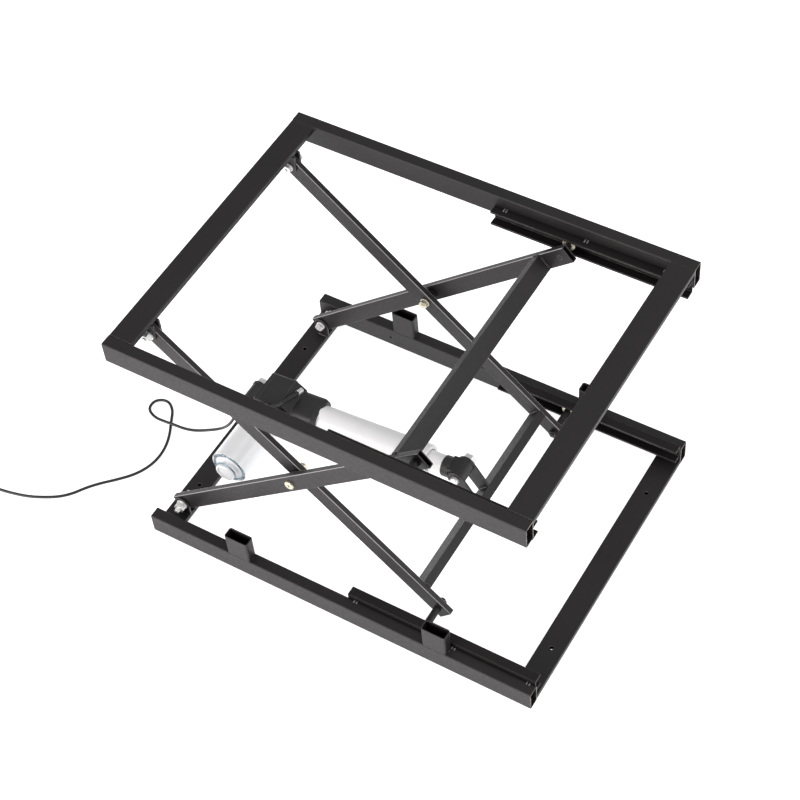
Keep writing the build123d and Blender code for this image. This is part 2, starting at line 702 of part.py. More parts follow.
ROD_END_HALF = ROD_HALF - REAR_GAP
COLLAR_U0 = REACH - 30.0
COLLAR_R = 17.6
COLLAR_L = 14.0
EYE_R = 14.0
with BuildPart() as rod_end:
    disc(ax(COLLAR_U0), [(0, 0)], COLLAR_R, COLLAR_L)
    fillet(rod_end.edges().filter_by(GeomType.CIRCLE).sort_by(Axis.X)[0], 1.0)
    with BuildSketch(side(ROD_END_HALF)):
        with Locations((REACH, 0)):
            Circle(EYE_R)
        with Locations((REACH - 9, 0)):
            Rectangle(18, 2 * EYE_R)
    extrude(amount=2 * ROD_END_HALF)
    disc(side(ROD_END_HALF), [(REACH, 0)], PIN_R + RUN, 2 * ROD_END_HALF, Mode.SUBTRACT)
    disc(ax(COLLAR_U0 - 1), [(0, 0)], ROD_R, ROD_U1 - COLLAR_U0 + 1, Mode.SUBTRACT)
    disc(ax(ROD_U1 - 20), [(0, 0)], ROD_BORE_R, 21)
save(rod_end, "rod_end")

# ================= cable =================
with BuildPart() as cable:
    with BuildLine() as path:
        FilletPolyline(*route, radius=radii)
    with BuildSketch(gland_plane):
        Circle(CABLE_R)
    sweep(path=path.wire())
save(cable, "cable")
cable_length = path.wire().length
print("cable", round(cable_length, 1), "mm, volume over section x length")
print(round(cable.part.volume / (math.pi * CABLE_R**2 * cable_length), 4))

# Coil of the spare length: two turns side by side, the rest on top of them.
COIL_TURNS = 3.25
with BuildPart() as cable_coil:
    with BuildSketch(Plane.XY):
        with Locations(COIL_AT):
            Circle(COIL_R + 2 * CABLE_R)
            Circle(COIL_R - 2 * CABLE_R, mode=Mode.SUBTRACT)
    extrude(amount=4 * CABLE_R + 0.4)
    fillet(cable_coil.edges(), 2)
save(cable_coil, "cable_coil")
TAIL_X = COIL_AT[0] - COIL_R
TAIL_Y = COIL_AT[1] - 12.0
TAIL_L = 32.0
with BuildPart() as cable_tail:
    disc(xz(TAIL_Y), [(TAIL_X, FLOOR)], CABLE_R, TAIL_L)
save(cable_tail, "cable_tail")
with BuildPart() as cable_plug:
    with BuildSketch(xz(TAIL_Y - TAIL_L)):
        with Locations((TAIL_X, 5)):
            RectangleRounded(14, 9.6, 1.2)
    extrude(amount=22)
    with BuildSketch(xz(TAIL_Y - TAIL_L - 14)):
        with Locations((TAIL_X - 3.2, 5), (TAIL_X + 3.2, 5)):
            Rectangle(4, 6)
    extrude(amount=8, mode=Mode.SUBTRACT)
save(cable_plug, "cable_plug")
print("whole cable", round(cable_length + COIL_TURNS * 2 * math.pi * COIL_R + TAIL_L))

print("arm length", round(ARM_L, 2), "raised angle", round(math.degrees(THETA), 3))
print("lowered angle", round(math.degrees(THETA_LOW), 3), "fold", round(math.degrees(THETA - THETA_LOW), 3))
print("tilt", round(math.degrees(TILT), 4), "to", round(math.degrees(TILT_LOW), 4))
print("reach", round(REACH, 2), "to", round(REACH_LOW, 2), "stroke", round(REACH_LOW - REACH, 2))
print("rod pin", [round(v, 3) for v in ROD_PIN])
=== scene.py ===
"""Looks for a black scissor lift frame driven by an electric linear actuator.

Lengths are in metres. The lift stands on z = 0 with the rails along X.
"""
import json
import math

import bmesh
import bpy
from mathutils import Matrix, Vector


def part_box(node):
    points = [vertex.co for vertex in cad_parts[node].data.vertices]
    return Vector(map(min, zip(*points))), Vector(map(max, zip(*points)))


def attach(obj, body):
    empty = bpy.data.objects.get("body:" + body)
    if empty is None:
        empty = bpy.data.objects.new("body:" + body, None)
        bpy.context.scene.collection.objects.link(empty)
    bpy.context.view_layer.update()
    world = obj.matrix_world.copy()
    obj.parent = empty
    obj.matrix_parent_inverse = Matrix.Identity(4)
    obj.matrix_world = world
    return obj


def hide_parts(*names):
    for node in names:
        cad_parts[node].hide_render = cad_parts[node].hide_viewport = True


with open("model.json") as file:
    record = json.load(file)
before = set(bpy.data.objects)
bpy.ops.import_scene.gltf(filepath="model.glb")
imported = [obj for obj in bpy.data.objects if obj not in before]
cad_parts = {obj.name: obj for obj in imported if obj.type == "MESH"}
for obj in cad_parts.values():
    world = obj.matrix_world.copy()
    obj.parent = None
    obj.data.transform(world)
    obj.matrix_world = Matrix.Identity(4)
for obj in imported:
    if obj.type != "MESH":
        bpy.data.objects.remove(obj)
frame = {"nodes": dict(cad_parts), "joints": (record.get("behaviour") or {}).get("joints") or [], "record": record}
NODES = frame["nodes"]
JOINT_AT = {joint["name"]: joint["pos_m"] for joint in frame["joints"]}
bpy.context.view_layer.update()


# ---------------------------------------------------------------- camera, floor and light
def make_camera():
    """A long lens from high over the front right, rolled a little."""
    data = bpy.data.cameras.new("camera")
    data.lens = 88.79
    data.sensor_width = 36.0
    data.clip_end = 50.0
    cam = bpy.data.objects.new("camera", data)
    right = Vector((0.859444, 0.507106, -0.064809))
    up = Vector((-0.366243, 0.699180, 0.614014))
    back = Vector((0.356683, -0.503975, 0.786630))
    place = Vector((1.0756, -1.5514, 2.6567))
    rotation = Matrix((right, up, back)).transposed().to_4x4()
    cam.matrix_world = Matrix.Translation(place) @ rotation
    bpy.context.scene.collection.objects.link(cam)
    bpy.context.scene.camera = cam


def area_light(name, place, target, size, power, color=(1, 1, 1)):
    """Rectangular lamp at place that faces target; power in watts."""
    data = bpy.data.lights.new(name, "AREA")
    data.shape = "RECTANGLE"
    data.size, data.size_y = size
    data.energy = power
    data.color = color
    lamp = bpy.data.objects.new(name, data)
    lamp.location = place
    aim = Vector(target) - Vector(place)
    lamp.rotation_euler = aim.to_track_quat("-Z", "Y").to_euler()
    bpy.context.scene.collection.objects.link(lamp)


def make_studio():
    """Wide white floor that glows a little, white surroundings and three lamps."""
    floor = bpy.data.meshes.new("floor")
    half = 12.0
    square = [(-half, -half, 0), (half, -half, 0), (half, half, 0), (-half, half, 0)]
    floor.from_pydata(square, [], [(0, 1, 2, 3)])
    obj = bpy.data.objects.new("floor", floor)
    just_below = -0.0004
    obj.location.z = just_below
    bpy.context.scene.collection.objects.link(obj)
    mat = bpy.data.materials.new("floor_paper")
    mat.use_nodes = True
    bsdf = mat.node_tree.nodes["Principled BSDF"]
    bsdf.inputs["Base Color"].default_value = (0.85, 0.85, 0.85, 1)
    bsdf.inputs["Roughness"].default_value = 0.9
    bsdf.inputs["Emission Color"].default_value = (1, 1, 1, 1)
    bsdf.inputs["Emission Strength"].default_value = 0.85
    floor.materials.append(mat)
    world = bpy.data.worlds.new("studio")
    world.use_nodes = True
    world.node_tree.nodes["Background"].inputs["Color"].default_value = (1, 1, 1, 1)
    world.node_tree.nodes["Background"].inputs["Strength"].default_value = 0.45
    bpy.context.scene.world = world
    bpy.context.scene.view_settings.view_transform = "Standard"
    area_light("key_front", (-1.2, -3.4, 1.5), (0, 0, 0.25), (3.2, 1.8), 110, (1, 0.95, 0.94))
    area_light("rim_right", (3.4, 0.6, 1.6), (0, 0, 0.25), (1.6, 1.2), 32)
    area_light("top_soft", (0.3, 0.6, 3.6), (0, 0, 0.2), (2.4, 2.4), 13)


make_camera()
make_studio()


# ---------------------------------------------------------------- materials
class Shader:
    """Small helper that builds a Principled material from procedural nodes.

    Each method adds nodes and returns an output socket that the next one can take.
    """

    def __init__(self, name):
        self.mat = bpy.data.materials.new(name)
        self.mat.use_nodes = True
        self.tree = self.mat.node_tree
        self.bsdf = self.tree.nodes["Principled BSDF"]
        self.coord = self.tree.nodes.new("ShaderNodeTexCoord").outputs["Object"]

    def add(self, kind, **values):
        node = self.tree.nodes.new(kind)
        for key, value in values.items():
            setattr(node, key, value)
        return node

    def link(self, a, b):
        self.tree.links.new(a, b)

    def stretched(self, scale):
        """Object coordinates scaled along each axis, for grain that runs one way."""
        node = self.add("ShaderNodeMapping")
        node.inputs["Scale"].default_value = scale
        self.link(self.coord, node.inputs["Vector"])
        return node.outputs["Vector"]

    def noise(self, scale, detail=3.0, rough=0.55, vector=None):
        node = self.add("ShaderNodeTexNoise")
        node.inputs["Scale"].default_value = scale
        node.inputs["Detail"].default_value = detail
        node.inputs["Roughness"].default_value = rough
        self.link(vector or self.coord, node.inputs["Vector"])
        return node.outputs["Fac"]

    def facing(self):
        """The X, Y and Z parts of the surface's direction in the scene."""
        node = self.add("ShaderNodeSeparateXYZ")
        self.link(self.add("ShaderNodeNewGeometry").outputs["Normal"], node.inputs[0])
        return node.outputs

    def ramp(self, value, stops):
        """Colours by value; stops are pairs of place and colour."""
        node = self.add("ShaderNodeValToRGB")
        ramp = node.color_ramp
        while len(ramp.elements) < len(stops):
            ramp.elements.new(0.5)
        for element, (place, color) in zip(ramp.elements, stops):
            element.position = place
            element.color = (*color, 1)
        self.link(value, node.inputs["Fac"])
        return node.outputs["Color"]

    def remap(self, value, low, high, to_low, to_high):
        """Straight scale from low..high to to_low..to_high, clamped at both ends."""
        node = self.add("ShaderNodeMapRange")
        limits = {"From Min": low, "From Max": high, "To Min": to_low, "To Max": to_high}
        for key, number in limits.items():
            node.inputs[key].default_value = number
        self.link(value, node.inputs["Value"])
        return node.outputs["Result"]

    def mix(self, fac, a, b):
        """Colour a where fac is 0 and colour b where it is 1."""
        fac_in, a_in, b_in, color_out = 0, 6, 7, 2
        node = self.add("ShaderNodeMix", data_type="RGBA")
        self.link(fac, node.inputs[fac_in])
        for number, value in ((a_in, a), (b_in, b)):
            if isinstance(value, tuple):
                node.inputs[number].default_value = (*value, 1)
            else:
                self.link(value, node.inputs[number])
        return node.outputs[color_out]

    def math(self, operation, a, b=None):
        node = self.add("ShaderNodeMath", operation=operation)
        for socket, value in zip(node.inputs, (a, b)):
            if value is None:
                continue
            if isinstance(value, (int, float)):
                socket.default_value = value
            else:
                self.link(value, socket)
        return node.outputs[0]

    def edges(self, radius, strength=1.0):
        """Rounds the normals at sharp edges; returns the normal and a mask of the edges."""
        bevel = self.add("ShaderNodeBevel", samples=6)
        bevel.inputs["Radius"].default_value = radius
        geometry = self.add("ShaderNodeNewGeometry")
        dot = self.add("ShaderNodeVectorMath", operation="DOT_PRODUCT")
        self.link(bevel.outputs["Normal"], dot.inputs[0])
        self.link(geometry.outputs["Normal"], dot.inputs[1])
        mask = self.remap(dot.outputs["Value"], 0.995, 0.88, 0.0, strength)
        return bevel.outputs["Normal"], mask

    def bump(self, height, distance, strength=1.0, normal=None):
        node = self.add("ShaderNodeBump")
        node.inputs["Strength"].default_value = strength
        node.inputs["Distance"].default_value = distance
        self.link(height, node.inputs["Height"])
        if normal is not None:
            self.link(normal, node.inputs["Normal"])
        return node.outputs["Normal"]

    def set(self, **sockets):
        """Fills the Principled shader's sockets and returns the material."""
        names = {
            "color": "Base Color",
            "metal": "Metallic",
            "rough": "Roughness",
            "normal": "Normal",
            "specular": "Specular IOR Level",
        }
        for key, value in sockets.items():
            socket = self.bsdf.inputs[names[key]]
            if isinstance(value, (int, float)):
                socket.default_value = value
            else:
                self.link(value, socket)
        return self.mat


def powder_coat(name="powder_coat", bare_ends=False, rim=0.0, specular=0.42):
    """Satin black powder coat: orange peel, faint dust and painted highlights on the rounded edges.

    rim adds a painted highlight on the upper rounded edges of a bar that faces Y; bare_ends lets steel show
    through chipped coat on faces that look along X.
    """
    s = Shader(name)
    cloud = s.noise(9.0, 3.0)
    base = s.ramp(cloud, [(0.3, (0.0125, 0.0105, 0.0110)), (0.7, (0.0160, 0.0135, 0.0140))])
    speck = s.ramp(s.noise(1900.0, 1.0), [(0.64, (0, 0, 0)), (0.76, (1, 1, 1))])
    base = s.mix(s.math("MULTIPLY", speck, 0.18), base, (0.07, 0.065, 0.063))
    # Lighter edges: a painted highlight along every sharp edge, broken into patches by noise.
    normal, edge_highlight = s.edges(0.0013, 0.75)
    highlight_patches = s.remap(s.noise(60.0, 5.0), 0.35, 0.65, 0.35, 1.0)
    base = s.mix(s.math("MULTIPLY", edge_highlight, highlight_patches), base, (0.22, 0.205, 0.20))
    # Painted highlight: a light band on the upper rounded edges, where light from above catches the fillets.
    if rim:
        facing = s.facing()
        sideways = s.math("ABSOLUTE", facing["Y"])
        band = s.math("MULTIPLY", s.remap(sideways, 0.15, 0.35, 0, 1), s.remap(sideways, 0.97, 0.85, 0, 1))
        upper = s.remap(facing["Z"], 0.1, 0.4, 0.0, rim)
        base = s.mix(s.math("MULTIPLY", band, upper), base, (0.62, 0.59, 0.61))
    if bare_ends:
        end = s.remap(s.math("ABSOLUTE", s.facing()["X"]), 0.9, 0.96, 0.0, 1.0)
        chipped = s.remap(s.noise(90.0, 4.0), 0.42, 0.56, 0.15, 0.9)
        base = s.mix(s.math("MULTIPLY", end, chipped), base, (0.42, 0.38, 0.33))
    rough = s.remap(s.noise(220.0, 3.0), 0.3, 0.7, 0.42, 0.54)
    peel = s.math("ADD", s.noise(750.0, 2.0), s.math("MULTIPLY", s.noise(2600.0, 1.0), 0.4))
    return s.set(color=base, rough=rough, specular=specular, normal=s.bump(peel, 0.0001, 0.45, normal))


def plated(name, light, dark, tint, rough=0.30, metal=0.85):
    """Plated steel: cloudy tint, fine scratches and painted highlights along the edges."""
    s = Shader(name)
    cloud = s.noise(130.0, 5.0)
    base = s.ramp(cloud, [(0.28, dark), (0.5, light), (0.72, tint)])
    rough_map = s.remap(s.noise(480.0, 4.0), 0.3, 0.7, rough - 0.07, rough + 0.13)
    scratches = s.noise(900.0, 2.0, 0.6, s.stretched((1.0, 0.12, 1.0)))
    normal, edge_highlight = s.edges(0.0005, 0.6)
    # Near-white edges: painted highlight.
    base = s.mix(edge_highlight, base, (0.93, 0.93, 0.91))
    return s.set(color=base, metal=metal, rough=rough_map, normal=s.bump(scratches, 0.00002, 0.3, normal))


def tube_finish(name, light, dark, metal, rough):
    """Drawn tube: faint lines along X, soft clouding and painted highlights along the edges."""
    s = Shader(name)
    cloud = s.noise(35.0, 3.0)
    base = s.ramp(cloud, [(0.3, dark), (0.7, light)])
    lines = s.noise(900.0, 2.0, 0.5, s.stretched((0.03, 1.0, 1.0)))
    rough_map = s.remap(lines, 0.3, 0.7, rough - 0.05, rough + 0.08)
    normal, edge_highlight = s.edges(0.0006, 0.5)
    # Lighter edges: painted highlight.
    base = s.mix(edge_highlight, base, (0.9, 0.9, 0.9))
    return s.set(color=base, metal=metal, rough=rough_map, normal=s.bump(lines, 0.00003, 0.35, normal))


def moulded(name, dark, light, grain=1400.0, rough=0.46, edge=(0.16, 0.15, 0.16)):
    """Moulded part: fine grain, soft clouding and painted highlights along the edges."""
    s = Shader(name)
    base = s.ramp(s.noise(20.0, 4.0), [(0.3, dark), (0.7, light)])
    normal, edge_highlight = s.edges(0.0012, 0.45)
    # Lighter edges in the edge colour: painted highlight.
    base = s.mix(edge_highlight, base, edge)
    grain_map = s.noise(grain, 3.0, 0.7)
    rough_map = s.remap(s.noise(90.0, 3.0), 0.3, 0.7, rough - 0.06, rough + 0.08)
    return s.set(color=base, rough=rough_map, specular=0.5, normal=s.bump(grain_map, 0.00008, 0.55, normal))


def cable_sheath():
    """Black sheath: satin with a fine grain."""
    s = Shader("cable_sheath")
    base = s.ramp(s.noise(60.0, 4.0), [(0.3, (0.010, 0.010, 0.010)), (0.7, (0.022, 0.021, 0.021))])
    rough = s.remap(s.noise(500.0, 3.0), 0.3, 0.7, 0.30, 0.44)
    return s.set(color=base, rough=rough, specular=0.55, normal=s.bump(s.noise(850.0, 3.0), 0.00008, 0.4))


def weld_metal(name, dark, light):
    """Weld bead: glossier than the frame, with a rough surface."""
    s = Shader(name)
    base = s.ramp(s.noise(400.0, 4.0), [(0.3, dark), (0.7, light)])
    rough = s.remap(s.noise(700.0, 3.0), 0.3, 0.7, 0.20, 0.36)
    return s.set(color=base, rough=rough, specular=0.6, normal=s.bump(s.noise(1200.0, 3.0), 0.00015, 0.5))


MATERIALS = {
    "frame_black": powder_coat(),
    "zinc_plate": plated(
        "zinc_plate", (0.90, 0.90, 0.89), (0.84, 0.84, 0.84), (0.88, 0.89, 0.92), rough=0.34, metal=0.5
    ),
    "yellow_zinc": plated("yellow_zinc", (0.78, 0.73, 0.58), (0.62, 0.57, 0.44), (0.80, 0.77, 0.70)),
    "tube_silver": tube_finish("tube_silver", (0.97, 0.97, 0.97), (0.94, 0.94, 0.945), 0.0, 0.32),
    "rod_steel": tube_finish("rod_steel", (0.80, 0.80, 0.81), (0.62, 0.62, 0.64), 1.0, 0.18),
    "motor_steel": tube_finish("motor_steel", (0.95, 0.96, 0.97), (0.90, 0.91, 0.93), 0.12, 0.32),
    "housing_black": moulded("housing_black", (0.016, 0.015, 0.016), (0.023, 0.021, 0.022)),
    "cable_black": cable_sheath(),
    "bush_plastic": moulded(
        "bush_plastic", (0.52, 0.50, 0.44), (0.64, 0.62, 0.55), 1200.0, 0.5, (0.7, 0.68, 0.6)
    ),
    "bronze": plated("bronze", (0.66, 0.45, 0.22), (0.45, 0.28, 0.12), (0.72, 0.52, 0.30), rough=0.34),
}
WELD = weld_metal("weld_bead", (0.012, 0.011, 0.011), (0.030, 0.027, 0.026))
# Weld tacks in light grey, unlike the black beads: a painted glint for the light caught on the glossy tacks.
TACK = weld_metal("weld_tack", (0.10, 0.10, 0.11), (0.34, 0.34, 0.36))
CRIMP = plated("motor_crimp", (0.28, 0.36, 0.42), (0.14, 0.20, 0.25), (0.42, 0.50, 0.56), rough=0.24)
RAIL_COAT = powder_coat("powder_coat_rail", bare_ends=True)
# Arms: frame coat with the painted highlight on their upper rounded edges.
ARM_COAT = powder_coat("powder_coat_arm", rim=0.6)
# Tracks: a duller copy of the frame coat, painted shade for the tracks that sit in shadow under the rails.
SHADED_TRACK_COAT = powder_coat("powder_coat_track_shaded", specular=0.2)

# Nodes whose name holds one of these keys take that coat; all others take their slot's material.
COATS = {"_rail_": RAIL_COAT, "_track_": SHADED_TRACK_COAT, "arm_1_": ARM_COAT, "arm_2_": ARM_COAT}
for part in frame["record"]["subparts"]:
    data = NODES[part["node"]].data
    data.materials.clear()
    coats = [coat for key, coat in COATS.items() if key in part["node"]]
    data.materials.append(coats[0] if coats else MATERIALS[part["material_slot"]])


# ---------------------------------------------------------------- shared mesh helpers
def finish_piece(name, bm, body, material):
    """Turns a bmesh into a smooth visible piece that rides on a body."""
    mesh = bpy.data.meshes.new(name)
    bmesh.ops.recalc_face_normals(bm, faces=bm.faces)
    bm.to_mesh(mesh)
    bm.free()
    mesh.materials.append(material)
    for face in mesh.polygons:
        face.use_smooth = True
    obj = bpy.data.objects.new(name, mesh)
    bpy.context.scene.collection.objects.link(obj)
    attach(obj, body)
    return obj


def circle(sides):
    """Angles of the corners of a ring."""
    return [2 * math.pi * k / sides for k in range(sides)]


def tube_rings(bm, rings):
    """Skins a list of vertex rings and closes both ends."""
    loops = [[bm.verts.new(p) for p in ring] for ring in rings]
    for first, second in zip(loops, loops[1:]):
        for i in range(len(first)):
            j = (i + 1) % len(first)
            bm.faces.new((first[i], first[j], second[j], second[i]))
    bm.faces.new(list(reversed(loops[0])))
    bm.faces.new(loops[-1])


def weld_bead(bm, start, end, radius, seed):
    """One rippled bead from start to end, half sunk in the joint."""
    start, end = Vector(start), Vector(end)
    along = (end - start).normalized()
    side = along.orthogonal().normalized()
    up = along.cross(side)
    length = (end - start).length
    step_l = 0.0006
    ripple_l = 0.0019
    steps = max(10, int(length / step_l))
    rings = []
    for i in range(steps + 1):
        t = i / steps
        s = t * length
        tip = min(1.0, math.sqrt(max(0.0, min(s, length - s) / (1.4 * radius))) + 0.12)
        ripple = 1.0 - 0.16 * (((s / ripple_l) + 0.37 * seed) % 1.0)
        wander = 0.10 * math.sin(s * 310.0 + seed * 1.9) * radius
        r = radius * tip * ripple * (1.0 + 0.10 * math.sin(s * 140.0 + seed))
        centre = start + along * s + side * wander
        ring = [centre + side * (r * math.cos(a)) + up * (r * math.sin(a)) for a in circle(10)]
        rings.append(ring)
    tube_rings(bm, rings)


def welds(name, body, runs, radius=0.0024, material=WELD):
    """One piece made of a bead for each pair of start and end in runs."""
    bm = bmesh.new()
    for seed, (start, end) in enumerate(runs):
        weld_bead(bm, start, end, radius, seed)
    finish_piece(name, bm, body, material)


# ---------------------------------------------------------------- cable
EXIT = (-0.2335, 0.0090, 0.1175)
# Height of the cable's centre where it lies on the floor.
FLOOR = 0.0026
ROUTE = [
    EXIT,
    (-0.235, -0.010, 0.1245),
    (-0.242, -0.038, 0.131),
    (-0.262, -0.052, 0.134),
    (-0.291, -0.058, 0.127),
    (-0.311, -0.060, 0.098),
    (-0.325, -0.058, 0.067),
    (-0.341, -0.055, 0.038),
    (-0.361, -0.053, 0.014),
    (-0.384, -0.060, 0.004),
    (-0.405, -0.071, FLOOR),
    (-0.424, -0.077, 0.0045),
    (-0.441, -0.080, 0.0083),
    (-0.461, -0.082, 0.0083),
    (-0.483, -0.080, 0.0042),
    (-0.504, -0.069, FLOOR),
    (-0.504, -0.0475, FLOOR),
    (-0.483, -0.038, FLOOR),
    (-0.464, -0.051, FLOOR),
    (-0.452, -0.074, FLOOR),
    (-0.439, -0.097, FLOOR),
    (-0.430, -0.121, FLOOR),
    (-0.427, -0.148, FLOOR),
    (-0.432, -0.173, FLOOR),
    (-0.444, -0.196, FLOOR),
    (-0.463, -0.217, FLOOR),
    (-0.485, -0.238, FLOOR),
    (-0.501, -0.257, FLOOR),
    (-0.513, -0.276, FLOOR),
    (-0.529, -0.292, FLOOR),
    (-0.551, -0.305, FLOOR),
    (-0.575, -0.316, FLOOR),
    (-0.601, -0.323, FLOOR),
    (-0.628, -0.328, FLOOR),
    (-0.655, -0.330, FLOOR),
]
CABLE_D = 0.005
COIL_AT = (-0.682, -0.3575)
COIL_R = 0.0275
COIL_TURNS = 3.25
COIL_LAYER = 0.0048
TAIL_END = -0.4015


def passed(turn, start, span):
    """0 up to the turn start, then straight up to 1 over the span of turns."""
    return min(1.0, max(0.0, (turn - start) / span))


def coil_points():
    """Three and a quarter turns: one outside, one inside it, the rest on top."""
    points = []
    per_turn = 14
    total = int(COIL_TURNS * per_turn)
    outside, step_in, settle = 0.0026, 0.0051, 0.0005
    for i in range(total + 1):
        turn = i / per_turn
        a = math.pi / 2 + 2 * math.pi * turn
        on_top = passed(turn, 1.9, 0.22)
        inward = passed(turn, 0.86, 0.22) - on_top
        lift = on_top * COIL_LAYER - passed(turn, 3.0, 0.2) * settle
        r = (COIL_R + outside - step_in * inward) / math.cos(math.pi / per_turn)
        points.append((COIL_AT[0] + r * math.cos(a), COIL_AT[1] + r * math.sin(a), FLOOR + lift))
    return points


def cable_piece():
    """The whole cord as one curve: route over the floor, coil and tail up to the plug."""
    tail_x = COIL_AT[0] - COIL_R
    points = ROUTE + coil_points()
    points += [
        (tail_x, COIL_AT[1] - 0.014, 0.0068),
        (tail_x, COIL_AT[1] - 0.028, 0.0052),
        (tail_x, TAIL_END, 0.0050),
    ]
    data = bpy.data.curves.new("cable_lead", "CURVE")
    data.dimensions = "3D"
    data.bevel_depth = CABLE_D / 2
    data.bevel_resolution = 5
    data.resolution_u = 10
    data.use_fill_caps = True
    spline = data.splines.new("NURBS")
    spline.points.add(len(points) - 1)
    for point, place in zip(spline.points, points):
        point.co = (*place, 1.0)
    spline.order_u = 3
    spline.use_endpoint_u = True
    data.materials.append(MATERIALS["cable_black"])
    obj = bpy.data.objects.new("cable_lead", data)
    bpy.context.scene.collection.objects.link(obj)
    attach(obj, "base")
    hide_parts("cable", "cable_coil", "cable_tail")
    return obj


def strain_relief():
    """Tapered ribbed sleeve on the first centimetres of the cable."""
    bm = bmesh.new()
    start, toward, bend = (Vector(place) for place in ROUTE[:3])
    rings = []
    steps = 44
    share = 0.62
    wide_r, taper, rib_h = 0.0038, 0.0011, 0.00035
    for i in range(steps + 1):
        t = i / steps * share
        p = start.lerp(toward, t).lerp(toward.lerp(bend, t), t)
        q = start.lerp(toward, t + 0.01).lerp(toward.lerp(bend, t + 0.01), t + 0.01)
        along = (q - p).normalized()
        side = along.cross(Vector((0, 0, 1))).normalized()
        up = side.cross(along)
        rib = rib_h if (i // 3) % 2 == 0 and i < steps - 6 else 0.0
        r = wide_r - taper * i / steps + rib
        rings.append([p + side * (r * math.cos(a)) + up * (r * math.sin(a)) for a in circle(20)])
    tube_rings(bm, rings)
    return finish_piece("cable_sleeve", bm, "base", MATERIALS["cable_black"])


def coil_tie():
    """Small twist tie that holds the coil together."""
    bm = bmesh.new()
    x, y = COIL_AT[0] + COIL_R, COIL_AT[1]
    half_w, half_h, mid_z = 0.0064, 0.0052, 0.0056
    rings = []
    steps = 28
    for i in range(steps + 1):
        a = 2 * math.pi * i / steps * 1.04
        square = max(abs(math.cos(a)), abs(math.sin(a)))
        px = x + half_w * math.cos(a) / square ** 0.6
        pz = mid_z + half_h * math.sin(a) / square ** 0.3
        out = Vector((math.cos(a), 0, math.sin(a))) * 0.0006
        centre = Vector((px, y + 0.0004 * i / steps, max(pz, 0.0008)))
        wide = Vector((0, 0.0014, 0))
        rings.append([centre + out - wide, centre + out + wide, centre - out + wide, centre - out - wide])
    tube_rings(bm, rings)
    return finish_piece("coil_tie", bm, "base", MATERIALS["cable_black"])


cable = cable_piece()
sleeve = strain_relief()
tie = coil_tie()


# ---------------------------------------------------------------- welds
BASE_TACKS_X = (0.029, 0.205, 0.335)
TOP_TACKS_X = (0.034, 0.172, 0.303)
TACK_PITCH = 0.0045


def frame_welds(frame_name, body, top):
    """Beads where the cross bars meet the rails, and pairs of tacks along the tracks."""
    runs = []
    tacks = []
    above = 0.0003
    for side in ("front", "back"):
        sign = -1 if side == "front" else 1
        rail_low, rail_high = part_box(f"{frame_name}_rail_{side}")
        face = rail_high.y if side == "front" else rail_low.y
        for end in ("left", "right"):
            low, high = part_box(f"{frame_name}_bar_{end}")
            z_in = low.z if top else high.z
            runs.append(((low.x + 0.003, face, z_in), (high.x - 0.003, face, z_in)))
            x_in = high.x if end == "left" else low.x
            runs.append(((x_in, face, low.z + 0.001), (x_in, face, high.z - 0.001)))
        low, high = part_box(f"{frame_name}_track_{side}")
        foot = (high.z if top else rail_high.z) + above
        reach = -sign * 0.0075 if top else sign * 0.0055
        for x in TOP_TACKS_X if top else BASE_TACKS_X:
            for shift in (0.0, TACK_PITCH):
                tacks.append(((x + shift, face, foot), (x + shift, face + reach, foot)))
    welds(f"{frame_name}_track_tacks", body, tacks, 0.0013, TACK)
    welds(f"{frame_name}_frame_welds", body, runs, 0.0017)


LUG_T = 0.003
LUG_PITCH = 0.0142


def lug_welds(name, node, body, z):
    """Beads along the foot of each lug plate."""
    low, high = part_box(node)
    outer, inner = high.y, high.y - LUG_PITCH
    runs = []
    for sign in (-1, 1):
        for y in (outer, outer - LUG_T, inner, inner - LUG_T):
            runs.append(((low.x + 0.003, sign * y, z), (high.x - 0.003, sign * y, z)))
    welds(name, body, runs, 0.0019)


STUB_HALF = 0.0215
STUB_Y = 0.260


def stub_welds():
    """Short beads at the two narrow sides of each rest stub."""
    low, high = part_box("rest_stubs")
    runs = []
    for x in (low.x + STUB_HALF, high.x - STUB_HALF):
        for y in (-STUB_Y, STUB_Y):
            for dx in (-STUB_HALF, STUB_HALF):
                runs.append(((x + dx, y - 0.004, low.z), (x + dx, y + 0.004, low.z)))
    welds("stub_welds", "base", runs, 0.0013)


def arm_point(pair, s, n):
    """Point in a pair's plane, from its fixed pivot: s along the arm and n across it."""
    pivot = JOINT_AT["lift"]
    cross = JOINT_AT["scissor_cross"]
    slope = math.atan2(cross[2] - pivot[2], cross[0] - pivot[0])
    c, k = math.cos(slope), math.sin(slope)
    if pair == 1:
        return pivot[0] + s * c - n * k, pivot[2] + s * k + n * c
    top = 2 * cross[2] - pivot[2]
    return pivot[0] + s * c + n * k, top - s * k + n * c


CROSS_NEAR, CROSS_FAR = 0.5735, 0.5885
CROSS_HALF_H = 0.0150
BRACKET_T = 0.004


def arm_welds(pair):
    """Beads around both ends of the cross tube of one pair of arms."""
    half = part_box(f"cross_tube_{pair}")[1].y
    runs = []
    for sign in (-1, 1):
        for s0, n0, s1, n1 in (
            (0.575, CROSS_HALF_H, 0.587, CROSS_HALF_H),
            (0.575, -CROSS_HALF_H, 0.587, -CROSS_HALF_H),
            (CROSS_NEAR, -0.012, CROSS_NEAR, 0.012),
            (CROSS_FAR, -0.012, CROSS_FAR, 0.012),
        ):
            x0, z0 = arm_point(pair, s0, n0)
            x1, z1 = arm_point(pair, s1, n1)
            runs.append(((x0, sign * half, z0), (x1, sign * half, z1)))
    return runs


def rear_bracket_runs():
    """Beads at the feet of the bracket on the base."""
    low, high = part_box("rear_bracket")
    runs = []
    for sign in (-1, 1):
        for y in (high.y, high.y - BRACKET_T):
            runs.append(((low.x + 0.002, sign * y, low.z), (high.x - 0.002, sign * y, low.z)))
    return runs


